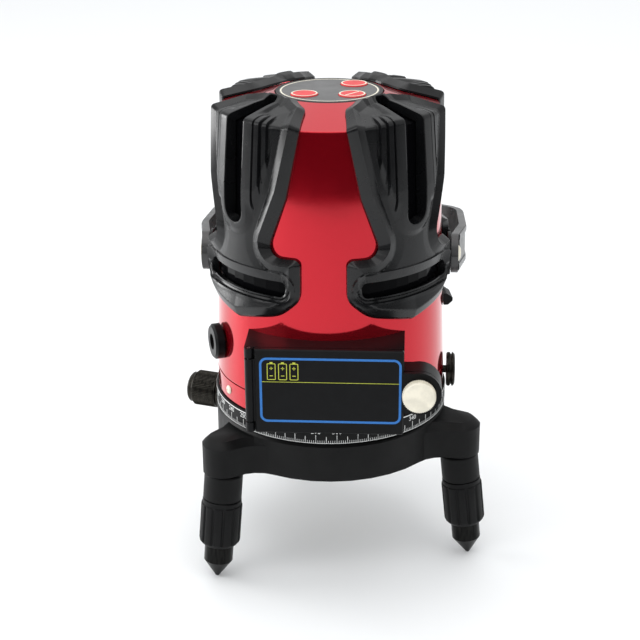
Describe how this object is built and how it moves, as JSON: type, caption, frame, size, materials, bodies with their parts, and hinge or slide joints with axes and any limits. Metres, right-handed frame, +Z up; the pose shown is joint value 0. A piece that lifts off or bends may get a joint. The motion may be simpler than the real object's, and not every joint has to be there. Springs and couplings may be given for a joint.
{
  "type": "laser level",
  "caption": "Self-levelling line laser level: slotted red drum turret with keypad, battery door and carrying handle, turning on a graduated base with screw feet.",
  "frame": {"origin": "plumb point: on the turning axis at the level of the three foot tips", "axes": "+Z up along the turning axis; -Y is the front of the turret, where the battery door is"},
  "size_m": [0.1401, 0.1531, 0.2145],
  "materials": {
    "red_lacquer": "gloss candy red",
    "black_rubber_plastic": "semi-gloss",
    "base_black": "satin",
    "dark_metal": "dark plated",
    "steel": "machined",
    "brass": "machined",
    "pendulum_metal": "cast",
    "cream_metal": "light plated",
    "keypad_grey": "membrane",
    "dark_window": "tinted",
    "board_green": "board",
    "cell_jacket": "sleeve"
  },
  "bodies": {
    "base": {"tripod_base": "base_black", "graduated_ring": "base_black", "tripod_insert": "brass", "spindle_bush": "brass", "leg_sleeve_right": "base_black", "leg_sleeve_left": "base_black", "leg_sleeve_rear": "base_black"},
    "wheel_right": {"leg_wheel_right": "base_black"},
    "wheel_left": {"leg_wheel_left": "base_black"},
    "wheel_rear": {"leg_wheel_rear": "base_black"},
    "foot_right": {"foot_stud_right": "dark_metal"},
    "foot_left": {"foot_stud_left": "dark_metal"},
    "foot_rear": {"foot_stud_rear": "dark_metal"},
    "fine_drive": {"fine_knob": "dark_metal", "fine_shaft": "steel", "friction_roller": "black_rubber_plastic"},
    "turret": {"chassis_plate": "steel", "spindle": "steel", "spindle_nut": "steel", "lower_band": "red_lacquer", "housing_shell": "red_lacquer", "bumper_front_left": "black_rubber_plastic", "bumper_front_right": "black_rubber_plastic", "bumper_rear_right": "black_rubber_plastic", "bumper_rear_left": "black_rubber_plastic", "window_pane_front_left": "dark_window", "window_pane_front_right": "dark_window", "window_pane_rear_right": "dark_window", "window_pane_rear_left": "dark_window", "keypad_panel": "keypad_grey", "control_board": "board_green", "battery_tray": "black_rubber_plastic", "door_hinge_pin": "steel", "cell_lower": "cell_jacket", "cell_upper": "cell_jacket", "cell_back": "cell_jacket", "contact_plate_left": "steel", "contact_plate_right": "steel", "socket_collar": "black_rubber_plastic", "port_cover": "black_rubber_plastic", "rotary_switch": "black_rubber_plastic", "pivot_pad_left": "black_rubber_plastic", "pivot_pad_right": "black_rubber_plastic", "pivot_screw_left": "cream_metal", "pivot_screw_right": "cream_metal", "gimbal_frame": "steel"},
    "key_left": {"push_key_left": "red_lacquer"},
    "key_right": {"push_key_right": "red_lacquer"},
    "key_rear": {"push_key_rear": "red_lacquer"},
    "door": {"battery_door": "black_rubber_plastic"},
    "thumb": {"thumb_screw": "cream_metal"},
    "side_knob_body": {"side_knob": "dark_metal"},
    "bail": {"handle": "black_rubber_plastic"},
    "gimbal_ring_body": {"gimbal_ring": "steel"},
    "pendulum_body": {"pendulum": "pendulum_metal", "line_module_front_left": "dark_metal", "line_module_front_right": "dark_metal", "line_module_rear_right": "dark_metal", "line_module_rear_left": "dark_metal"}
  },
  "joints": [
    {"name": "turret_spin", "type": "hinge", "parent": "base", "child": "turret", "pos_m": [0, 0, 0.07833], "axis": [0, 0, 1], "continuous": true},
    {"name": "fine_knob_spin", "type": "hinge", "parent": "base", "child": "fine_drive", "pos_m": [-0.04973, 0.0152, 0.06253], "axis": [-0.9563, 0.2924, 0], "continuous": true},
    {"name": "wheel_turn_right", "type": "hinge", "parent": "base", "child": "wheel_right", "pos_m": [0.06398, -0.01956, 0], "axis": [-0.1066, 0.0326, 0.9938], "range_deg": [0, 1728]},
    {"name": "wheel_turn_left", "type": "hinge", "parent": "base", "child": "wheel_left", "pos_m": [-0.04893, -0.04563, 0], "axis": [0.0815, 0.076, 0.9938], "range_deg": [0, 1728]},
    {"name": "wheel_turn_rear", "type": "hinge", "parent": "base", "child": "wheel_rear", "pos_m": [-0.01505, 0.06519, 0], "axis": [0.0251, -0.1086, 0.9938], "range_deg": [0, 1728]},
    {"name": "foot_slide_right", "type": "slide", "parent": "base", "child": "foot_right", "axis": [0.1066, -0.0326, -0.9938], "range_m": [0, 0.006]},
    {"name": "foot_slide_left", "type": "slide", "parent": "base", "child": "foot_left", "axis": [-0.0815, -0.076, -0.9938], "range_m": [0, 0.006]},
    {"name": "foot_slide_rear", "type": "slide", "parent": "base", "child": "foot_rear", "axis": [-0.0251, 0.1086, -0.9938], "range_m": [0, 0.006]},
    {"name": "key_press_left", "type": "slide", "parent": "turret", "child": "key_left", "axis": [0, 0, -1], "range_m": [0, 0.0008], "stiffness_N_per_m": 1500},
    {"name": "key_press_right", "type": "slide", "parent": "turret", "child": "key_right", "axis": [0, 0, -1], "range_m": [0, 0.0008], "stiffness_N_per_m": 1500},
    {"name": "key_press_rear", "type": "slide", "parent": "turret", "child": "key_rear", "axis": [0, 0, -1], "range_m": [0, 0.0008], "stiffness_N_per_m": 1500},
    {"name": "door_swing", "type": "hinge", "parent": "turret", "child": "door", "pos_m": [-0.0306, -0.0583, 0.09763], "axis": [0, 0, -1], "range_deg": [0, 105]},
    {"name": "thumb_turn", "type": "hinge", "parent": "door", "child": "thumb", "pos_m": [0.0398, -0.0602, 0.09773], "axis": [0, -1, 0], "range_deg": [0, 1080]},
    {"name": "side_knob_turn", "type": "hinge", "parent": "turret", "child": "side_knob_body", "pos_m": [0.052, 0, 0.08293], "axis": [1, 0, 0], "range_deg": [0, 90]},
    {"name": "handle_swing", "type": "hinge", "parent": "turret", "child": "bail", "pos_m": [0, 0, 0.13853], "axis": [1, 0, 0], "range_deg": [-25, 98]},
    {"name": "gimbal_roll", "type": "hinge", "parent": "turret", "child": "gimbal_ring_body", "pos_m": [0, 0, 0.15283], "axis": [1, 0, 0], "range_deg": [-4, 4]},
    {"name": "gimbal_pitch", "type": "hinge", "parent": "gimbal_ring_body", "child": "pendulum_body", "pos_m": [0, 0, 0.15283], "axis": [0, 1, 0], "range_deg": [-4, 4]}
  ],
  "couplings": [
    {"joint": "fine_knob_spin", "follows": "turret_spin", "ratio": -6.4167},
    {"joint": "wheel_turn_right", "follows": "foot_slide_right", "rad_per_m": 5026.5},
    {"joint": "wheel_turn_left", "follows": "foot_slide_left", "rad_per_m": 5026.5},
    {"joint": "wheel_turn_rear", "follows": "foot_slide_rear", "rad_per_m": 5026.5}
  ]
}
